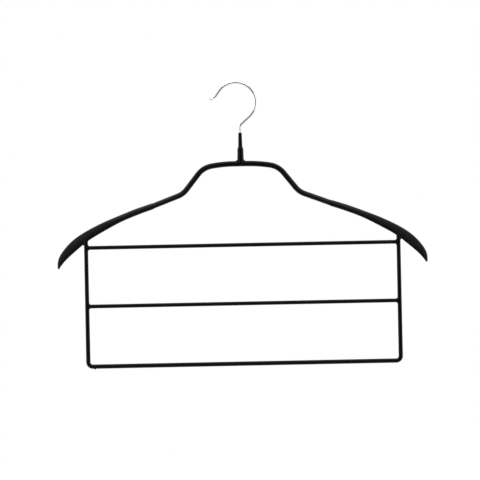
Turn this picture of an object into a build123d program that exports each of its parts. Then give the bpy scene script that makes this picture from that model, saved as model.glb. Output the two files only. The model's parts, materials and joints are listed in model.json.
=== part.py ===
from build123d import *

import math
import os

# Multi tier trouser hanger.
# A welded frame of steel wire, dipped in black PVC, hangs on a chromed wire hook that
# turns in a socket on its neck. Three level bars carry the trousers.
# Millimetres and degrees. +X runs along the bars, +Z is up, and the front faces -Y.
# The origin is the inside top of the hook's bow, which rests on the wardrobe rail.

os.makedirs("parts", exist_ok=True)

# Hook: one chromed spring wire, sizes to the wire's centre line
hook_wire_diameter = 3.0
hook_bow_radius = 23.9
bow_to_shank = 4.6
lead_slope = 41.5
crank_radius = 4.5
bow_end_angle = 145.3
tip_slope = 27.6
tip_run_in = 7.3
tip_length = 13.9
tip_bend_radius = 5.0
tip_ball_diameter = 4.2
tip_ball_fillet = 0.6
bare_shank_length = 8.8
hook_head_diameter = 4.1
hook_head_height = 1.8
hook_head_chamfer = 0.3

# Socket: the turned steel sleeve that holds the hook's head
socket_diameter = 5.7
socket_nose_diameter = 4.6
socket_nose_length = 2.2
socket_length = 19.5
socket_lip_height = 1.8
socket_chamber_diameter = 4.4
shank_clearance = 0.08
head_play = 0.1

# Neck skin: the PVC over the socket and the lower shank
neck_lip_length = 16.4
neck_lip_top_diameter = 4.1
neck_lip_base_diameter = 5.0
neck_lip_rounding = 0.3
neck_cone_length = 3.0
neck_top_diameter = 7.2
neck_base_diameter = 7.8
neck_base_lift = 0.5
neck_fillet = 3.0
neck_to_wire = 17.7

# Shoulder wire: one bent wire, its two ends pressed flat into blades
shoulder_wire_diameter = 5.0
shoulder_skin = 0.8
crown_radius = 170.0
crown_length = 27.7
shoulder_bend_radius = 26.0
shoulder_slope = 51.6
shoulder_run = 22.9
arm_bend_radius = 24.7
arm_slope = 20.6
arm_run = 31.0
blade_radii = (-122.0, 377.0, 116.0, 32.0)
blade_lengths = (6.8, 76.6, 41.5, 16.8)
blade_height = 10.5
round_edge_angle = 45.0
flat_edge_angle = 85.0
nose_thickness_share = 1.6
# Stations along the blade from its root to its point, and its height at each of them.
# The first one is the small step that the press leaves at the root.
blade_shares = (
    (0.03, 0.545), (0.085, 0.561), (0.17, 0.588), (0.255, 0.592), (0.34, 0.643),
    (0.425, 0.752), (0.51, 0.832), (0.595, 0.89), (0.68, 0.963), (0.74, 1.0),
    (0.8, 0.958), (0.85, 0.855), (0.89, 0.742), (0.93, 0.57), (0.97, 0.28), (1.0, 0.06),
)

# Ladder: a U of wire welded under the arms, with two more bars across it
ladder_wire_diameter = 3.2
ladder_seat_share = 0.635
ladder_corner_radius = 5.5
top_bar_drop = 7.6
upper_tier_height = 70.3
lower_tier_height = 72.2
bar_wire_diameter = 3.0
weld_depth = 0.3

# Skin on the ladder, which drains thicker towards the bottom
upright_top_skin = 0.8
bottom_skin = 1.0
bar_skin = 0.8
weld_fillet = 2.2
seam_relief = 0.05
seat_reach = 9.0
stub_margin = 0.6
drip_diameter = 2.4
drip_drop = 0.9
drip_from_corner = 2.6
drip_fillet = 0.5

# Places worked out from the sizes above
bow_z = hook_wire_diameter / 2 - hook_bow_radius
neck_x = bow_to_shank
lead_angle = lead_slope - 90
lead_top = (
    hook_bow_radius * math.cos(math.radians(lead_angle)),
    bow_z + hook_bow_radius * math.sin(math.radians(lead_angle)),
)
crank_z = lead_top[1] - (lead_top[0] - neck_x) * math.tan(math.radians(lead_slope))
dip_z = crank_z - bare_shank_length
lip_base_z = dip_z - neck_lip_length
cone_base_z = lip_base_z - neck_cone_length
shoulder_z = cone_base_z - neck_to_wire
socket_top_z = shoulder_z + socket_length
chamber_top_z = socket_top_z - socket_lip_height
head_top_z = chamber_top_z - head_play
shank_bore = hook_wire_diameter / 2 + shank_clearance
neck_stub = neck_base_diameter / 2 + neck_fillet + stub_margin
neck_plane = Plane.YZ.offset(neck_x)
neck_axis = Axis((neck_x, 0, 0), (0, 0, 1))


def walk(start, heading, radius, length):
    """Point and heading after an arc, or a straight run where the radius is 0."""
    x, z = start
    angle = math.radians(heading)
    if radius == 0:
        return (x + length * math.cos(angle), z + length * math.sin(angle)), heading
    turned = angle - length / radius
    end = (
        x + radius * (math.sin(angle) - math.sin(turned)),
        z + radius * (math.cos(turned) - math.cos(angle)),
    )
    return end, math.degrees(turned)


def heading_vector(heading):
    """Unit direction in the X-Z plane for a heading in degrees."""
    return (math.cos(math.radians(heading)), math.sin(math.radians(heading)))


def tube_along(path, diameter):
    """Round bar carried along a wire path."""
    with BuildPart() as tube:
        with BuildSketch(Plane(origin=path @ 0, z_dir=path % 0)):
            Circle(diameter / 2)
        sweep(path=path)
    return tube.part


# Hook line: shank, crank, lead, bow and the turned-out tip
bow_end_heading = bow_end_angle + 90
tip_heading = 180 + tip_slope
bow_end = (
    hook_bow_radius * math.cos(math.radians(bow_end_angle)),
    bow_z + hook_bow_radius * math.sin(math.radians(bow_end_angle)),
)
tip_corner, _ = walk(bow_end, bow_end_heading, 0, tip_run_in)
tip_end, _ = walk(tip_corner, tip_heading, 0, tip_length - tip_run_in)
tip_direction = heading_vector(tip_heading)

with BuildPart() as hook:
    with BuildLine(Plane.XZ) as hook_line:
        FilletPolyline((neck_x, head_top_z), (neck_x, crank_z), lead_top, radius=crank_radius)
        CenterArc((0, bow_z), hook_bow_radius, lead_angle, bow_end_angle - lead_angle)
        FilletPolyline(bow_end, tip_corner, tip_end, radius=tip_bend_radius)
    with BuildSketch(Plane.XY.offset(head_top_z)):
        with Locations((neck_x, 0)):
            Circle(hook_wire_diameter / 2)
    sweep(path=hook_line.line)
    with Locations(Plane((tip_end[0], 0, tip_end[1]), z_dir=(tip_direction[0], 0, tip_direction[1]))):
        Sphere(tip_ball_diameter / 2)
    ball_edges = hook.faces().filter_by(GeomType.SPHERE)[0].edges().filter_by(GeomType.CIRCLE)
    fillet(ball_edges.sort_by(SortBy.RADIUS)[0], tip_ball_fillet)
    with BuildSketch(Plane.XY.offset(head_top_z)):
        with Locations((neck_x, 0)):
            Circle(hook_head_diameter / 2)
    extrude(amount=-hook_head_height)
    chamfer(hook.edges().group_by(Axis.Z)[0], hook_head_chamfer)
hook.part.label = "hook"

# Shoulder line: the right half, from the neck outwards
crown_start = (neck_x + neck_stub, shoulder_z)
crown_end, crown_heading = walk(crown_start, 0, crown_radius, crown_length)
bend_length = math.radians(shoulder_slope + crown_heading) * shoulder_bend_radius
bend_end, bend_heading = walk(crown_end, crown_heading, shoulder_bend_radius, bend_length)
run_end, _ = walk(bend_end, bend_heading, 0, shoulder_run)
arm_bend_length = math.radians(shoulder_slope - arm_slope) * arm_bend_radius
arm_start, arm_heading = walk(run_end, bend_heading, -arm_bend_radius, arm_bend_length)
blade_start, _ = walk(arm_start, arm_heading, 0, arm_run)

with BuildLine(Plane.XZ) as shoulder_line:
    Line((neck_x, shoulder_z), crown_start)
    JernArc(crown_start, heading_vector(0), crown_radius, -math.degrees(crown_length / crown_radius))
    JernArc(crown_end, heading_vector(crown_heading), shoulder_bend_radius, bend_heading - crown_heading)
    Line(bend_end, run_end)
    JernArc(run_end, heading_vector(bend_heading), arm_bend_radius, arm_heading - bend_heading)
    Line(arm_start, blade_start)

with BuildLine(Plane.XZ) as blade_line:
    point, heading = blade_start, arm_heading
    for radius, length in zip(blade_radii, blade_lengths):
        JernArc(point, heading_vector(heading), abs(radius), -math.degrees(length / radius))
        point, heading = walk(point, heading, radius, length)

shoulder_path = shoulder_line.wire()
blade_path = blade_line.wire()


def oval(place, half_height, half_thickness, skin):
    """Pressed wire's section: four arcs that meet smoothly, grown by the skin."""
    flatness = max(0, 1 - half_thickness / half_height)
    angle = math.radians(round_edge_angle + (flat_edge_angle - round_edge_angle) * flatness)
    sine, cosine = math.sin(angle), math.cos(angle)
    spread = 1 - cosine - sine
    edge_radius = (half_height * (1 - sine) - half_thickness * cosine) / spread + skin
    high, wide = half_height + skin, half_thickness + skin
    x = edge_radius * sine
    y = high - edge_radius * (1 - cosine)
    with BuildSketch(place) as section:
        with BuildLine():
            ThreePointArc((-x, y), (0, high), (x, y))
            ThreePointArc((x, y), (wide, 0), (x, -y))
            ThreePointArc((x, -y), (0, -high), (-x, -y))
            ThreePointArc((-x, -y), (-wide, 0), (-x, y))
        make_face()
    return section.sketch.face()


def blade_half_height(share):
    """Half the pressed wire's height at a share of the blade's length."""
    before = (0.0, shoulder_wire_diameter / 2)
    for station, height in blade_shares:
        after = (station, height * blade_height / 2)
        if share <= station:
            break
        before = after
    mix = (share - before[0]) / (after[0] - before[0])
    return before[1] * (1 - mix) + after[1] * mix


def blade(skin, reach):
    """Pressed end of the shoulder wire, lofted along its line as far as a share of it.
    Pressing keeps the wire's area, so the blade is as thin as it has been spread high."""
    sections = []
    tallest = 0
    for share in (0.0,) + tuple(station for station, _ in blade_shares):
        half_height = blade_half_height(share)
        tallest = max(tallest, half_height)
        pressed = (shoulder_wire_diameter / 2) ** 2 / tallest
        half_thickness = min(pressed, half_height * nose_thickness_share)
        place = Plane(
            origin=blade_path @ (share * reach),
            x_dir=(0, 1, 0),
            z_dir=blade_path % (share * reach),
        )
        sections.append(oval(place, half_height, half_thickness, skin))
    with BuildPart() as shape:
        loft(sections)
    return shape.part


with BuildPart() as shoulder_wire:
    add(tube_along(shoulder_path, shoulder_wire_diameter))
    add(blade(0, 1 - shoulder_skin / blade_path.length))
    mirror(about=neck_plane)
shoulder_wire.part.label = "shoulder_wire"

# Ladder wire: the uprights' tops are cut along the blades' lower edges and seated there
seat_point = blade_path @ ladder_seat_share
seat_heading = blade_path % ladder_seat_share
seat_half_height = blade_half_height(ladder_seat_share)
seat_normal = Vector(-seat_heading.Z, 0, seat_heading.X)
seat_plane = Plane(
    origin=seat_point - seat_normal * (seat_half_height - weld_depth), z_dir=seat_normal
)
seat_z = seat_point.Z - seat_half_height / seat_heading.X
upright_x = seat_point.X
ladder_half_width = upright_x - neck_x
top_bar_z = seat_z - top_bar_drop
middle_bar_z = top_bar_z - upper_tier_height
bottom_bar_z = middle_bar_z - lower_tier_height

with BuildPart() as ladder_wire:
    with BuildLine(Plane.XZ) as ladder_line:
        FilletPolyline(
            (upright_x, seat_point.Z),
            (upright_x, bottom_bar_z),
            (neck_x, bottom_bar_z),
            radius=ladder_corner_radius,
        )
    with BuildSketch(Plane.XY.offset(seat_point.Z)):
        with Locations((upright_x, 0)):
            Circle(ladder_wire_diameter / 2)
    sweep(path=ladder_line.line)
    split(bisect_by=seat_plane, keep=Keep.BOTTOM)
    mirror(about=neck_plane)
    add(shoulder_wire.part, mode=Mode.SUBTRACT)
ladder_wire.part.label = "ladder_wire"


def bar_wire(height):
    """Straight bar between the uprights, its ends coped to their round."""
    with BuildPart() as bar:
        with BuildSketch(neck_plane):
            with Locations((0, height)):
                Circle(bar_wire_diameter / 2)
        extrude(amount=ladder_half_width, both=True)
        add(ladder_wire.part, mode=Mode.SUBTRACT)
    return bar.solids().sort_by(SortBy.VOLUME)[-1]


with BuildPart() as top_bar_wire:
    add(bar_wire(top_bar_z))
top_bar_wire.part.label = "top_bar_wire"

with BuildPart() as middle_bar_wire:
    add(bar_wire(middle_bar_z))
middle_bar_wire.part.label = "middle_bar_wire"

# Socket: necked at the top to hold the hook's head, coped at the foot to sit on the wire
with BuildPart() as socket_outside:
    with BuildSketch(Plane.XZ):
        Polygon(
            (neck_x, socket_top_z),
            (neck_x, shoulder_z),
            (neck_x + socket_diameter / 2, shoulder_z),
            (neck_x + socket_diameter / 2, socket_top_z - socket_nose_length),
            (neck_x + socket_nose_diameter / 2, socket_top_z),
            align=None,
        )
    revolve(axis=neck_axis)

with BuildPart() as swivel_socket:
    add(socket_outside.part)
    with BuildSketch(Plane.XY.offset(socket_top_z)):
        with Locations((neck_x, 0)):
            Circle(shank_bore)
    extrude(amount=-socket_lip_height, mode=Mode.SUBTRACT)
    with BuildSketch(Plane.XY.offset(chamber_top_z)):
        with Locations((neck_x, 0)):
            Circle(socket_chamber_diameter / 2)
    extrude(amount=shoulder_z - chamber_top_z, mode=Mode.SUBTRACT)
    add(shoulder_wire.part, mode=Mode.SUBTRACT)
swivel_socket.part.label = "swivel_socket"

# Skin: the PVC follows every wire, fillets each weld and is divided at the joints
shoulder_outside = shoulder_wire_diameter / 2 + shoulder_skin
upright_top_outside = ladder_wire_diameter / 2 + upright_top_skin
bottom_outside = ladder_wire_diameter / 2 + bottom_skin
bar_outside = bar_wire_diameter / 2 + bar_skin
bar_stub = upright_top_outside + weld_fillet + stub_margin
corner_z = bottom_bar_z + ladder_corner_radius

right_shoulder_tube = tube_along(shoulder_path, 2 * shoulder_outside)
right_arm_outside = blade(shoulder_skin, 1)

with BuildPart() as neck_coating:
    with BuildSketch(Plane.XZ):
        with BuildLine():
            neck_outline = Polyline(
                (neck_x, dip_z),
                (neck_x + neck_lip_top_diameter / 2, dip_z),
                (neck_x + neck_lip_base_diameter / 2, lip_base_z),
                (neck_x + neck_top_diameter / 2, cone_base_z),
                (neck_x + neck_base_diameter / 2, shoulder_z + neck_base_lift),
            )
            neck_foot = (neck_x, shoulder_z - shoulder_outside + weld_depth)
            TangentArc(neck_outline @ 1, neck_foot, tangent=neck_outline % 1)
            Line(neck_foot, (neck_x, dip_z))
        make_face()
    revolve(axis=neck_axis)
    fillet(neck_coating.edges().group_by(Axis.Z)[-1], neck_lip_rounding)
    with BuildSketch(neck_plane):
        with Locations((0, shoulder_z)):
            Circle(shoulder_outside)
    extrude(amount=neck_stub, both=True)
    fillet(neck_coating.edges().filter_by(GeomType.BSPLINE), neck_fillet)
    add(socket_outside.part, mode=Mode.SUBTRACT)
    add(shoulder_wire.part, mode=Mode.SUBTRACT)
    with BuildSketch(Plane.XY.offset(socket_top_z)):
        with Locations((neck_x, 0)):
            Circle(shank_bore)
    extrude(amount=dip_z - socket_top_z, mode=Mode.SUBTRACT)
neck_coating.part.label = "neck_coating"

with BuildPart() as right_shoulder_coating:
    add(right_shoulder_tube)
    split(bisect_by=neck_plane.offset(neck_stub), keep=Keep.TOP)
    add(shoulder_wire.part, mode=Mode.SUBTRACT)
right_shoulder_coating.part.label = "right_shoulder_coating"

with BuildPart() as right_arm_coating:
    add(right_arm_outside)
    add(shoulder_wire.part, mode=Mode.SUBTRACT)
    add(ladder_wire.part, mode=Mode.SUBTRACT)
right_arm_coating.part.label = "right_arm_coating"

# Upright skin: tapered, with a stub and a fillet at each bar and a fillet under the arm
seat_place = Plane(origin=seat_point, x_dir=(0, 1, 0), z_dir=seat_heading)
seat_half_thickness = (shoulder_wire_diameter / 2) ** 2 / seat_half_height
arm_section = oval(seat_place, seat_half_height, seat_half_thickness, shoulder_skin - seam_relief)

with BuildPart() as right_upright_skin:
    with BuildSketch(Plane.XZ):
        with BuildLine():
            side = Polyline(
                (upright_x, corner_z),
                (upright_x + bottom_outside, corner_z),
                (upright_x + upright_top_outside, seat_z),
            )
            top = (upright_x, seat_z + upright_top_outside)
            TangentArc(side @ 1, top, tangent=(0, 1))
            Line(top, (upright_x, corner_z))
        make_face()
    revolve(axis=Axis((upright_x, 0, 0), (0, 0, 1)))
    for height in (top_bar_z, middle_bar_z):
        with BuildSketch(Plane.YZ.offset(upright_x - bar_stub)):
            with Locations((0, height)):
                Circle(bar_outside)
        extrude(amount=bar_stub)
    fillet(right_upright_skin.edges().filter_by(GeomType.BSPLINE), weld_fillet)
    with BuildSketch(Plane.XY.offset(corner_z)):
        with Locations((upright_x, 0)):
            Circle(bottom_outside)
    corner_axis = Axis((upright_x - ladder_corner_radius, 0, corner_z), (0, 1, 0))
    revolve(axis=corner_axis, revolution_arc=90)
    extrude(arm_section, amount=seat_reach, both=True)
    fillet(right_upright_skin.edges(Select.NEW).filter_by(GeomType.BSPLINE), weld_fillet)
    add(right_arm_outside, mode=Mode.SUBTRACT)
    for wire in (shoulder_wire, ladder_wire, top_bar_wire, middle_bar_wire):
        add(wire.part, mode=Mode.SUBTRACT)

with BuildPart() as right_upright_coating:
    add(right_upright_skin.solids().sort_by(SortBy.VOLUME)[-1])
right_upright_coating.part.label = "right_upright_coating"


def mirrored(piece, name):
    """The left-hand copy of a right-hand piece."""
    with BuildPart() as copy:
        mirror(piece.part, about=neck_plane)
    copy.part.label = name
    return copy


left_shoulder_coating = mirrored(right_shoulder_coating, "left_shoulder_coating")
left_arm_coating = mirrored(right_arm_coating, "left_arm_coating")
left_upright_coating = mirrored(right_upright_coating, "left_upright_coating")


def bar_coating(height, name):
    """Skin on a straight bar, between the stubs on the two uprights."""
    with BuildPart() as skin:
        with BuildSketch(Plane(origin=(neck_x, 0, height), z_dir=(1, 0, 0))):
            Circle(bar_outside)
            Circle(bar_wire_diameter / 2, mode=Mode.SUBTRACT)
        extrude(amount=ladder_half_width - bar_stub, both=True)
    skin.part.label = name
    return skin


top_bar_coating = bar_coating(top_bar_z, "top_bar_coating")
middle_bar_coating = bar_coating(middle_bar_z, "middle_bar_coating")

# Bottom bar skin: a bead of PVC dried where the dipped frame drained
bottom_half_length = ladder_half_width - ladder_corner_radius
drip_x = neck_x - bottom_half_length + drip_from_corner
drip_z = bottom_bar_z - bottom_outside - drip_drop + drip_diameter / 2
with BuildPart() as bottom_bar_coating:
    with BuildSketch(Plane(origin=(neck_x, 0, bottom_bar_z), z_dir=(1, 0, 0))):
        Circle(bottom_outside)
    extrude(amount=bottom_half_length, both=True)
    with Locations((drip_x, 0, drip_z)):
        Sphere(drip_diameter / 2)
    fillet(bottom_bar_coating.edges(Select.NEW).filter_by(GeomType.BSPLINE), drip_fillet)
    add(ladder_wire.part, mode=Mode.SUBTRACT)
bottom_bar_coating.part.label = "bottom_bar_coating"

pieces = (
    hook,
    swivel_socket,
    shoulder_wire,
    ladder_wire,
    top_bar_wire,
    middle_bar_wire,
    neck_coating,
    left_shoulder_coating,
    right_shoulder_coating,
    left_arm_coating,
    right_arm_coating,
    left_upright_coating,
    right_upright_coating,
    top_bar_coating,
    middle_bar_coating,
    bottom_bar_coating,
)
for piece in pieces:
    export_step(piece.part, f"parts/{piece.part.label}.step")
    print(piece.part.label, len(piece.solids()), round(piece.part.volume, 1))
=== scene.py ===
# %% [markdown]
# # A multi tier trouser hanger
# The real one is a frame of welded steel wire, dipped in black PVC, that hangs on a
# chromed hook. The hook turns in the neck. The solids were modelled first, as exact CAD
# parts. This script dresses them, and makes the hook's surface again with softer bends.
# The first cell loads them as a fixed frame, in metres, with +X along the bars, +Z up and
# the front facing -Y. The inside top of the hook's bow is the origin.

import json

import bpy
import numpy as np
from mathutils import Matrix, Vector


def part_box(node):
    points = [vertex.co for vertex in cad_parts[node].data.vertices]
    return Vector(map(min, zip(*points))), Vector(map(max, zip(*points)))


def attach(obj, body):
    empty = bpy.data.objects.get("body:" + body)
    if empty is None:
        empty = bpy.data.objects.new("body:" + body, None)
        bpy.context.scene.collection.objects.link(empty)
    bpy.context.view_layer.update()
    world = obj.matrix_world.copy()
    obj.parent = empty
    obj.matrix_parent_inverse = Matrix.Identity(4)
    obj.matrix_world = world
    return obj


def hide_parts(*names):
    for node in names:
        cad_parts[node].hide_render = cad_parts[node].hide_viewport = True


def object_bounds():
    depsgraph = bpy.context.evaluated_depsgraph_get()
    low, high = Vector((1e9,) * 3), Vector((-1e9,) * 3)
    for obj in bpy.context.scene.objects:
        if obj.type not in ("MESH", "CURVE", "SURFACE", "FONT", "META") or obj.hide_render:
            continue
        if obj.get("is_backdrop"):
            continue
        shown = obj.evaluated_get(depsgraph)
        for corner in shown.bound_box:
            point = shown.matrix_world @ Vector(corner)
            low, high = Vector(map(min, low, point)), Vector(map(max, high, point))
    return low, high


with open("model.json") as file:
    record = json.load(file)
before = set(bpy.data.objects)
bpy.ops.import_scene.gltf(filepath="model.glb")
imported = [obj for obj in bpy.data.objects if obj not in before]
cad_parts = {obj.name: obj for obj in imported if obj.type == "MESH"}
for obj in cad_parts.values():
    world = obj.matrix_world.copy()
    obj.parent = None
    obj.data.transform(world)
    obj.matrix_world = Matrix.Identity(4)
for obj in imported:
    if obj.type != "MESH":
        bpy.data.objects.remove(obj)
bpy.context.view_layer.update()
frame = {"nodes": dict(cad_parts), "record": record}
nodes = frame["nodes"]
mm = 0.001
for name in sorted(nodes):
    print(f"{name:24s} {len(nodes[name].data.polygons):6d} faces")

# %% [markdown]
# ## The camera
# The photograph is a flat product shot, taken square on with a long lens, and the hanger
# hangs a little crooked in it: its right side is about a degree high. A camera that stands
# back 2.4 m keeps the picture flat, and it is rolled by that degree, because the part
# itself stays straight. The picture is 480 pixels wide and a pixel is 1.2 mm.

# %% Camera
pixel = 1.2 * mm
picture = 480 * pixel
camera_distance = 2.4
sensor_width = 36
roll = np.radians(1.16)
middle = Vector((2.0 * mm, 0, -187.7 * mm))

camera_data = bpy.data.cameras.new("camera")
camera_data.sensor_width = sensor_width
camera_data.lens = sensor_width * camera_distance / picture
camera = bpy.data.objects.new("camera", camera_data)
bpy.context.scene.collection.objects.link(camera)
bpy.context.scene.camera = camera
right = Vector((np.cos(roll), 0, -np.sin(roll)))
up = Vector((np.sin(roll), 0, np.cos(roll)))
back = Vector((0, -1, 0))
facing = Matrix((right, up, back)).transposed()
camera.matrix_world = Matrix.Translation(middle + back * camera_distance) @ facing.to_4x4()
print("lens", round(camera_data.lens, 1), "mm, picture", round(picture, 3), "m wide")

# %% [markdown]
# ## Writing materials as sums
# A material is a graph of nodes, which is slow to read when each link is a line of code.
# Two small classes make it read like arithmetic. `Value` wraps an output socket and
# overloads the operators, so that `1 - mask` adds a Math node. `Paint` holds the graph,
# and its one method `node` adds any other node from its type, settings and inputs.

# %% Sums of sockets
class Value:
    """One number that changes over the surface: an output socket that can be added to."""

    def __init__(self, paint, socket):
        self.paint = paint
        self.socket = socket

    def worked(self, operation, *terms):
        """One Math node on the terms, in order."""
        return self.paint.node("Math", {"operation": operation}, dict(enumerate(terms)))

    def __add__(self, other):
        return self.worked("ADD", self, other)

    def __radd__(self, other):
        return self.worked("ADD", other, self)

    def __sub__(self, other):
        return self.worked("SUBTRACT", self, other)

    def __rsub__(self, other):
        return self.worked("SUBTRACT", other, self)

    def __mul__(self, other):
        return self.worked("MULTIPLY", self, other)

    def __rmul__(self, other):
        return self.worked("MULTIPLY", other, self)


# %% The graph of nodes
class Paint:
    """The graph of a new material, or of the world. `finish` gives a material its look."""

    def __init__(self, owner):
        self.owner = owner
        owner.use_nodes = True
        self.tree = owner.node_tree
        self.tree.nodes.clear()

    def node(self, kind, settings=None, inputs=None, output=0):
        """Adds one node: its settings first, then its inputs by name or place."""
        made = self.tree.nodes.new("ShaderNode" + kind)
        for key, setting in (settings or {}).items():
            if key == "stops":
                ramp = made.color_ramp.elements
                while len(ramp) < len(setting):
                    ramp.new(1)
                for element, (place, colour) in zip(ramp, setting):
                    element.position = place
                    element.color = (*colour, 1)
            else:
                setattr(made, key, setting)
        for key, value in (inputs or {}).items():
            if isinstance(value, Value):
                self.tree.links.new(value.socket, made.inputs[key])
            else:
                made.inputs[key].default_value = value
        return Value(self, made.outputs[output]) if made.outputs else None

    def between(self, value, low, high):
        """0 where value is low, 1 where it is high, and a smooth S between them."""
        return self.node(
            "MapRange", {"interpolation_type": "SMOOTHSTEP"}, {0: value, 1: low, 2: high}
        )

    def blend(self, mask, first, second):
        """A colour: the first where the mask is 0, the second where it is 1."""
        return self.node("Mix", {"data_type": "RGBA"}, {0: mask, 6: first, 7: second}, 2)

    def noise(self, place, size, detail=2.0, roughness=0.5):
        """Cloudy noise from 0 to 1 whose lumps are about `size` metres across."""
        settings = {"Vector": place, "Scale": 1 / size, "Detail": detail}
        return self.node("TexNoise", None, {**settings, "Roughness": roughness})

    def height(self, value, depth, below=None):
        """A bump that stands `depth` metres high where value is 1."""
        inputs = {"Strength": 1.0, "Distance": depth, "Height": value}
        if below is not None:
            inputs["Normal"] = below
        return self.node("Bump", None, inputs)

    def finish(self, **sockets):
        """The Principled shader, its sockets named with _ for each space."""
        inputs = {key.replace("_", " "): value for key, value in sockets.items()}
        shader = self.node("BsdfPrincipled", None, inputs)
        self.node("OutputMaterial", None, {"Surface": shader})
        return self.owner


# %% [markdown]
# ## The studio
# The hanger hangs in the air before a white background. Black PVC and chrome show what
# stands round them more than their own colour, so the room matters. It is white behind,
# at the sides and above, and dim where the photographer stands, darkest low down. That
# dim side draws the dark core along the chromed wire, and its rise from dark to light
# shades the broad blades from their lower edges to their upper ones. It is taller than it
# is wide, so a level wire has a darker core than an upright one, as the hook in the
# photograph has. A smaller dim patch straight behind does the same for whoever looks from
# there. A world shader is enough for that: it gives each direction its own grey. The
# camera itself always sees plain white.

# %% The room
def grey(level):
    """A colour socket's value for a neutral grey."""
    return (level, level, level, 1)


white = grey(1.0)
# The dim side's greys, each at its share of the way from straight down to straight up.
dim_greys = [(0.0, 0.01), (0.54, 0.02), (0.72, 0.3), (0.9, 1.0)]
# A patch is dim where a direction's way to the back, or to the front for the far patch,
# plus this share of its way aside is at the first number or less, and white at the second.
side_share = 0.9
near_edge = (-0.5, 0.35)
far_edge = (-0.8, -0.4)

world = bpy.data.worlds.new("room")
bpy.context.scene.world = world
room = Paint(world)
direction = room.node("TexCoord")
toward_back = room.node("SeparateXYZ", None, {0: direction}, "Y")
across = room.node("SeparateXYZ", None, {0: direction}, "X")
aside = room.node("Math", {"operation": "ABSOLUTE"}, {0: across})
upward = room.node("SeparateXYZ", None, {0: direction}, "Z")
share_up = room.node("MapRange", None, {0: upward, 1: -1.0, 2: 1.0})
stops = [(share, (level, level, level)) for share, level in dim_greys]
dim_side = room.node("ValToRGB", {"stops": stops}, {0: share_up})
near = room.between(toward_back + side_share * aside, *near_edge)
far = room.between(side_share * aside - toward_back, *far_edge)
tone = room.blend(near * far, dim_side, white)
for_camera = room.node("LightPath", None, None, "Is Camera Ray")
seen = room.blend(for_camera, tone, white)
room.node("OutputWorld", None, {"Surface": room.node("Background", None, {"Color": seen})})
print(len(room.tree.nodes), "nodes make the room")

# %% [markdown]
# ## The floor
# The floor is a pale sheet well below the hanger. It is lit, so that it takes a soft
# shadow, and it glows a little for the camera, for reflections and through glass, so that
# it still reads as white.

# %% The floor
def new_paint(name):
    """The graph of a new material of that name."""
    return Paint(bpy.data.materials.new(name))


def dress(piece, material):
    """Gives a piece one material all over."""
    piece.data.materials.clear()
    piece.data.materials.append(material)


floor_z = -0.62
floor_corners = [(-1.4, -0.5), (1.4, -0.5), (1.4, 1.6), (-1.4, 1.6)]
floor_grey = 0.6
floor_glow = 0.42
floor_mesh = bpy.data.meshes.new("floor")
floor_mesh.from_pydata([(x, y, floor_z) for x, y in floor_corners], [], [(0, 1, 2, 3)])
floor = bpy.data.objects.new("floor", floor_mesh)
bpy.context.scene.collection.objects.link(floor)
floor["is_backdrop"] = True

pale = new_paint("pale_floor")
kinds = ["Camera", "Glossy", "Transmission"]
rays = [pale.node("LightPath", None, None, f"Is {kind} Ray") for kind in kinds]
lit = pale.node("BsdfDiffuse", None, {"Color": grey(floor_grey)})
glow = pale.node("Emission", None, {"Strength": floor_glow * (rays[0] + rays[1] + rays[2])})
pale.node("OutputMaterial", None, {"Surface": pale.node("AddShader", None, {0: lit, 1: glow})})
dress(floor, pale.owner)

# %% [markdown]
# ## The lamps
# Three softboxes light the object at a plain level: one above and a little in front, which
# puts the line of light on the top of each bar, and one at each side, the left one a
# little stronger. Area lamps are chosen because their light has soft edges, as a cloth
# box over a flash gives.

# %% The lamps
def softbox(name, place, size, power):
    """An area lamp at `place`, in metres, that looks at the middle of the picture."""
    light = bpy.data.lights.new(name, "AREA")
    light.shape = "RECTANGLE"
    light.size, light.size_y = size
    light.energy = power
    lamp = bpy.data.objects.new(name, light)
    bpy.context.scene.collection.objects.link(lamp)
    lamp.location = place
    lamp.rotation_euler = (middle - Vector(place)).to_track_quat("-Z", "Y").to_euler()
    print(name, power, "W at", place)


softbox("top_softbox", (0, -0.5, 1.1), (1.6, 0.6), 9)
softbox("left_softbox", (-1.4, -0.7, 0.1), (0.6, 1.3), 6)
softbox("right_softbox", (1.4, -0.7, 0.1), (0.6, 1.3), 4)

# %% [markdown]
# ## The hook's line
# The hook is one spring wire, bent cold round pins. In the CAD part its line changes from
# straight to round at once, but a real wire springs back a little and eases into each
# bend. So here the line is made from its curvature: a list of runs says how far each one
# turns and how long it is, a short moving average eases the changes, and adding up gives
# first the heading and then the place. The wire is followed from its head, which the
# neck's socket holds, up the shank, over the bow and out to the tip.

# %% The bent line
def bent_line(start, heading, runs, step, ease):
    """Places and headings along a wire bent in the X-Z plane, one for each step. Each run
    is (turn in degrees, length) and its curvature is turn / length, averaged over `ease`.
    The heading is the sum of curvature times step, and the place is the sum of
    (cos, sin) of the heading times step."""
    turns, lengths = np.array(runs).T
    counts = np.round(lengths / step).astype(int)
    curvature = np.repeat(np.radians(turns) / (counts * step), counts)
    window = np.hanning(2 * int(ease / step) + 1)
    padded = np.pad(curvature, len(window) // 2, mode="edge")
    eased = np.convolve(padded, window / window.sum(), mode="valid")
    headings = np.radians(heading) + np.concatenate([[0], np.cumsum(eased) * step])
    between = (headings[:-1] + headings[1:]) / 2
    moves = step * np.stack([np.cos(between), 0 * between, np.sin(between)], axis=1)
    return start + np.concatenate([np.zeros((1, 3)), np.cumsum(moves, axis=0)]), headings


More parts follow.
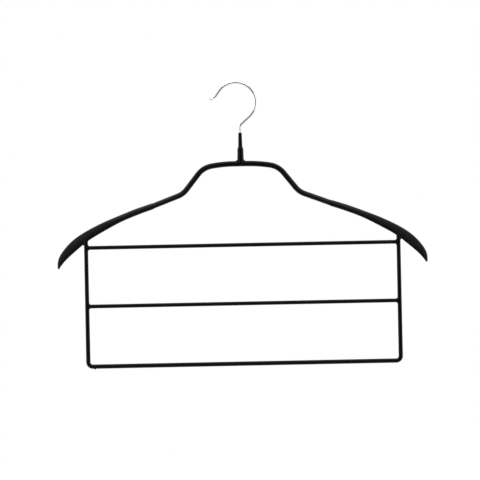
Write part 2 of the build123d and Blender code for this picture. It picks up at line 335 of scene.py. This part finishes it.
hook_low, hook_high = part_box("hook")
neck_low, neck_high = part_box("neck_coating")
neck_x = (neck_low.x + neck_high.x) / 2
seats = {mount["name"]: mount for mount in frame["record"]["mounts"]}
wire_radius = 1.5 * mm
bow_radius = seats["rail_seat"]["dims"]["r_mm"] * mm + wire_radius
head_height = 1.8 * mm
shank = 26.27 * mm
crank_turn, crank_radius = 48.5, 4.5 * mm
lead = 12.98 * mm
bow_turn = 193.8
run_in = 6.07 * mm
tip_turn, tip_bend_radius = 27.7, 5 * mm
tip_run = 5.37 * mm
ball_radius = 2.1 * mm
runs = [
    (0, head_height + shank),
    (-crank_turn, np.radians(crank_turn) * crank_radius),
    (0, lead),
    (bow_turn, np.radians(bow_turn) * bow_radius),
    (0, run_in),
    (-tip_turn, np.radians(tip_turn) * tip_bend_radius),
    (0, tip_run + ball_radius),
]
step = 0.05 * mm
easing = 1.2 * mm
straight_up = 90
foot = np.array([neck_x, 0, hook_low.z])
line, headings = bent_line(foot, straight_up, runs, step, easing)
line[:, 2] += hook_high.z - wire_radius - line[:, 2].max()
along = np.arange(len(line)) * step
print("wire", round(along[-1] / mm, 1), "mm long, tip at", np.round(line[-1] / mm, 2))

# %% [markdown]
# ## The hook's thickness
# Along that line the wire is 3 mm thick. It has an upset head at its foot, and a small
# ball at its tip, so that it doesn't catch on clothes. The ball runs into the wire in a
# soft hollow, as melted metal does, and a smooth maximum of the two radii gives that.
# The rings stand 0.3 mm apart along the wire, and closer towards the ball's pole.

# %% The hook's radius
def smooth_maximum(first, second, blend):
    """The larger of two arrays, raised where they are within `blend` of each other: the
    larger one plus (blend - gap) squared / (4 blend)."""
    gap = np.abs(first - second)
    return np.maximum(first, second) + np.maximum(blend - gap, 0) ** 2 / (4 * blend)


ring_gap = 0.3 * mm
ball_ring_count = 40
hollow = 0.6 * mm
head_rings = np.array([0, 0.3, 1.0, 1.78]) * mm
head_radii = np.array([1.75, 2.05, 2.05, 2.05]) * mm
ball_middle = along[-1] - ball_radius
wire_end = along[-1] - 2 * ball_radius
wire_rings = np.arange(head_height, wire_end, ring_gap)
ball_turns = np.linspace(0, np.pi, ball_ring_count)
ball_rings = along[-1] - ball_radius * (1 + np.cos(ball_turns))
rings = np.unique(np.concatenate([head_rings, wire_rings, ball_rings[:-1]]))

ball = np.sqrt(np.maximum(ball_radius**2 - (rings - ball_middle) ** 2, 0))
radius = np.where(rings < ball_middle, smooth_maximum(wire_radius, ball, hollow), ball)
radius = np.where(rings < head_height, np.interp(rings, head_rings, head_radii), radius)
thinnest, thickest = np.round([radius.min() / mm, radius.max() / mm], 2)
print(len(rings), "rings, of radius", thinnest, "to", thickest, "mm")

# %% [markdown]
# ## The hook's surface
# A wire is a ring carried along a line: the place on the line, plus the radius times a
# unit ring that stands square to the heading. All of it is one sum of arrays, with no
# loop over points. Each point also keeps where it would be if the wire were pulled
# straight again. The chrome reads that, so its lines can follow the wire round every bend.

# %% The hook's points
columns = 48
around = np.linspace(0, 2 * np.pi, columns, endpoint=False)[None, :]
ring_cos = np.cos(around)
ring_sin = np.sin(around)
centre = np.stack([np.interp(rings, along, line[:, axis]) for axis in range(3)], axis=1)
heading = np.interp(rings, along, headings)
outward = np.stack([-np.sin(heading), 0 * heading, np.cos(heading)], axis=1)[:, None, :]
rearward = np.array([0.0, 1.0, 0.0])
ring = ring_cos[..., None] * outward + ring_sin[..., None] * rearward
points = centre[:, None, :] + radius[:, None, None] * ring
straight = [wire_radius * ring_cos, wire_radius * ring_sin, rings[:, None]]
pulled = np.stack(np.broadcast_arrays(*straight), axis=2)
print(points.shape[0], "x", points.shape[1], "points")

# %% The hook
def closed_tube(name, points, pulled):
    """A mesh from rings x columns points. Each ring is joined to the next by four-cornered
    faces that point outwards, its last column is joined to its first, and the two end
    rings close on a pole at their middle. `pulled` becomes the attribute "pulled"."""
    count, columns, _ = points.shape
    here = np.arange(count * columns).reshape(count, columns)
    beside = np.roll(here, -1, axis=1)
    quads = np.stack([here[:-1], here[1:], beside[1:], beside[:-1]], axis=2).reshape(-1, 4)
    foot_pole = np.full(columns, count * columns)
    foot_cap = np.stack([foot_pole, here[0], beside[0]], axis=1)
    tip_cap = np.stack([foot_pole + 1, beside[-1], here[-1]], axis=1)
    corners = np.concatenate([quads.ravel(), foot_cap.ravel(), tip_cap.ravel()])
    sizes = np.concatenate([np.full(len(quads), 4), np.full(2 * columns, 3)])
    places, straightened = (
        np.concatenate([grid.reshape(-1, 3), grid[[0, -1]].mean(axis=1)])
        for grid in (points, pulled)
    )

    mesh = bpy.data.meshes.new(name)
    mesh.vertices.add(len(places))
    mesh.vertices.foreach_set("co", places.ravel())
    mesh.loops.add(len(corners))
    mesh.loops.foreach_set("vertex_index", corners)
    mesh.polygons.add(len(sizes))
    mesh.polygons.foreach_set("loop_start", np.cumsum(sizes) - sizes)
    mesh.polygons.foreach_set("use_smooth", np.ones(len(sizes), bool))
    attribute = mesh.attributes.new("pulled", "FLOAT_VECTOR", "POINT")
    attribute.data.foreach_set("vector", straightened.ravel())
    mesh.update(calc_edges=True)
    piece = bpy.data.objects.new(name, mesh)
    bpy.context.scene.collection.objects.link(piece)
    return piece


hook = closed_tube("hook_wire", points, pulled)
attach(hook, "hook")
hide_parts("hook")
low, high = points.min(axis=(0, 1)), points.max(axis=(0, 1))
print("hook from", np.round(low / mm, 2), "to", np.round(high / mm, 2), "mm")
print("CAD from", np.round(hook_low / mm, 2), "to", np.round(hook_high / mm, 2), "mm")

# %% [markdown]
# ## Chrome
# The plating is bright, but not perfect. The wire was drawn through a die before it was
# plated, and the chrome keeps its fine lines, which run along the wire: noise on the
# pulled-straight places, stretched fifty times along the wire, gives them. Under the
# bow, where it rubs on the wardrobe rail, the chrome is dulled. The distance from the
# rail's seat, the origin, says where, with the height counted five times so that only
# the inside of the bow is reached.

# %% Bright chrome
def bright_chrome():
    """Chrome with drawn lines along the wire, a faint haze, and a dull patch at the rail."""
    hazy, clear = (0.72, 0.73, 0.74, 1), (0.80, 0.805, 0.81, 1)
    stretch = (1, 1, 1 / 50)
    squat = (1, 1, 5)
    paint = new_paint("bright_chrome")
    pulled = paint.node("Attribute", {"attribute_name": "pulled"}, None, "Vector")
    drawn = paint.node("VectorMath", {"operation": "MULTIPLY"}, {0: pulled, 1: stretch})
    lines = paint.noise(drawn, 0.15 * mm, 3.0)
    place = paint.node("TexCoord", None, None, "Object")
    haze = paint.noise(place, 5 * mm, 4.0, 0.6)
    seat = paint.node("VectorMath", {"operation": "MULTIPLY"}, {0: place, 1: squat})
    from_rail = paint.node("VectorMath", {"operation": "LENGTH"}, {0: seat}, "Value")
    scuffs = paint.noise(place, 0.5 * mm, 3.0, 0.7)
    rubbed = paint.between(from_rail, 8 * mm, 3 * mm) * paint.between(scuffs, 0.35, 0.6)
    relief = paint.height(scuffs * rubbed, 0.004 * mm, paint.height(lines, 0.0006 * mm))
    return paint.finish(
        Base_Color=paint.blend(haze, hazy, clear),
        Metallic=1.0,
        Roughness=0.05 + 0.05 * haze + 0.03 * lines + 0.16 * rubbed,
        Normal=relief,
    )


dress(hook, bright_chrome())

# %% [markdown]
# ## Black PVC
# The frame is heated, dipped in liquid PVC and hung up to drain. The skin comes out
# satin, with a fine orange peel, over slow waves where it ran before it set. Dust
# settles on whatever faces up, and a few specks stick anywhere. Trousers polish the tops
# of the bars. The narrow lip round the shank was wiped while soft, so it is matter, and
# its colour is painted blacker than the rest, as painted shade. On the outer arms the
# faces that look up are painted a mottled grey: a painted sheen, painted light from
# above, most on the broad blades. It grows along each arm and isn't there at the neck.
# One function paints all of these, because it is one skin, and its last arguments say how
# grey the painted sheen is, where the bars are rubbed and where the lip begins. The
# shader reflects less than clear plastic does, because the filler in the PVC breaks up
# its surface.

# %% The skin
# The last black is the lip's, painted darker than the rest as painted shade.
deep_black, pale_black, painted_lip_shade = grey(0.0020), grey(0.0036), grey(0.0016)
dust_colour = (0.016, 0.0155, 0.015, 1)
speck_colour = (0.12, 0.115, 0.11, 1)
# Along each arm, where the painted sheen (painted light on faces that look up) begins and where
# it is full.
painted_sheen_begins, painted_sheen_is_full = 15 * mm, 110 * mm
polish_fade = 30 * mm
lip_fade = 1.5 * mm


def black_vinyl(name, painted_sheen=0.0, rubbed_to=0.0, wiped_and_shaded_above=None):
    """Dipped PVC, with a painted sheen as grey as `painted_sheen` on the outer arms where it
    faces up, painted light from above. The bars are rubbed up to `rubbed_to` from the neck's
    axis, and the skin is matt, and painted darker as shade, over the height
    `wiped_and_shaded_above`."""
    paint = new_paint(name)
    place = paint.node("TexCoord", None, None, "Object")
    peel = paint.noise(place, 1.3 * mm, 2.0)
    waves = paint.noise(place, 15 * mm, 1.0)
    cloud = paint.noise(place, 8 * mm, 4.0, 0.6)
    grain = paint.noise(place, 0.2 * mm, 1.0)
    cells = paint.node("TexVoronoi", None, {"Vector": place, "Scale": 1 / (8 * mm)}, "Distance")
    specks = paint.between(cells, 0.022, 0.012) * paint.between(cloud, 0.45, 0.55)
    normal = paint.node("NewGeometry", None, None, "Normal")
    upward = paint.node("SeparateXYZ", None, {0: normal}, "Z")
    across = paint.node("SeparateXYZ", None, {0: place}, "X")
    from_neck = paint.node("Math", {"operation": "ABSOLUTE"}, {0: across - neck_x})
    dust = paint.between(upward, 0.2, 1.0) * paint.between(cloud, 0.4, 0.65)
    roughness = 0.22 + 0.08 * cloud + 0.05 * grain + 0.16 * dust
    colour = paint.blend(cloud, deep_black, pale_black)
    # Painted light: on the outer arms, faces that look up are painted greyer, a painted sheen
    # from the light above, mottled by the cloud and grain.
    if painted_sheen:
        outer = paint.between(from_neck, painted_sheen_begins, painted_sheen_is_full)
        painted_sheen_mask = paint.between(upward, -0.5, 0.5) * outer
        colour = paint.blend(painted_sheen_mask * (0.3 + 0.6 * cloud + 0.4 * grain), colour, grey(painted_sheen))
    colour = paint.blend(0.5 * dust, colour, dust_colour)
    colour = paint.blend(specks, colour, speck_colour)
    if rubbed_to:
        rubbed = paint.between(from_neck, rubbed_to, rubbed_to - polish_fade)
        roughness = roughness - 0.1 * rubbed * paint.between(upward, 0.1, 0.7)
    # The lip is matt, and its colour is painted blacker, as painted shade.
    if wiped_and_shaded_above is not None:
        height = paint.node("SeparateXYZ", None, {0: place}, "Z")
        wiped_and_shaded = paint.between(height, wiped_and_shaded_above, wiped_and_shaded_above + lip_fade)
        roughness = roughness + 0.15 * wiped_and_shaded
        colour = paint.blend(wiped_and_shaded, colour, painted_lip_shade)
    skin = paint.height(peel, 0.08 * mm, paint.height(waves, 0.2 * mm))
    return paint.finish(
        Base_Color=colour, Roughness=roughness, Specular_IOR_Level=0.1, Normal=skin
    )


# %% The coatings
lip_length = 16.4 * mm
# The grey of the painted sheen, the painted light on the arms' upward faces.
painted_sheen_grey = 0.029
bar_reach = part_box("top_bar_coating")[1].x - neck_x
vinyls = {
    "upright_coating": black_vinyl("ladder_vinyl"),
    "bar_coating": black_vinyl("bar_vinyl", rubbed_to=bar_reach),
    "shoulder_coating": black_vinyl("shoulder_vinyl", painted_sheen=painted_sheen_grey),
    "neck_coating": black_vinyl("neck_vinyl", wiped_and_shaded_above=neck_high.z - lip_length),
}
vinyls["arm_coating"] = vinyls["shoulder_coating"]
for name in sorted(nodes):
    for ending, vinyl in vinyls.items():
        if name.endswith(ending):
            dress(nodes[name], vinyl)
            print(f"{name:24s} {vinyl.name}")
print("bars rubbed for", round(2 * bar_reach / mm), "mm")

# %% [markdown]
# ## Steel under the skin
# The wires and the socket are sealed in, so no view shows them, but whoever cuts the
# model open should find steel. It is drawn wire with a little mill scale: lines along the
# X axis, darker where the scale is thick.

# %% Drawn steel
def drawn_steel():
    """Bare wire: streaks along X, and cloudy grey scale that is duller and darker."""
    stretch = (0.03, 1, 1)
    paint = new_paint("drawn_steel")
    place = paint.node("TexCoord", None, None, "Object")
    drawn = paint.node("VectorMath", {"operation": "MULTIPLY"}, {0: place, 1: stretch})
    streaks = paint.noise(drawn, 0.2 * mm, 3.0)
    scale = paint.noise(place, 3 * mm, 5.0, 0.6)
    return paint.finish(
        Base_Color=paint.blend(scale, grey(0.26), grey(0.5)),
        Metallic=1.0,
        Roughness=0.25 + 0.2 * scale + 0.1 * streaks,
        Normal=paint.height(streaks, 0.003 * mm),
    )


steel = drawn_steel()
sealed_in = [name for name in sorted(nodes) if name.endswith(("_wire", "_socket"))]
for name in sealed_in:
    dress(nodes[name], steel)
print("steel:", ", ".join(sealed_in))

# %% [markdown]
# ## The end
# The plain view transform shows a colour as it was mixed.

# %% Sizes, and the end
bpy.context.scene.view_settings.view_transform = "Standard"
low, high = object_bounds()
print("box", [round(v, 4) for v in (*low, *high)])
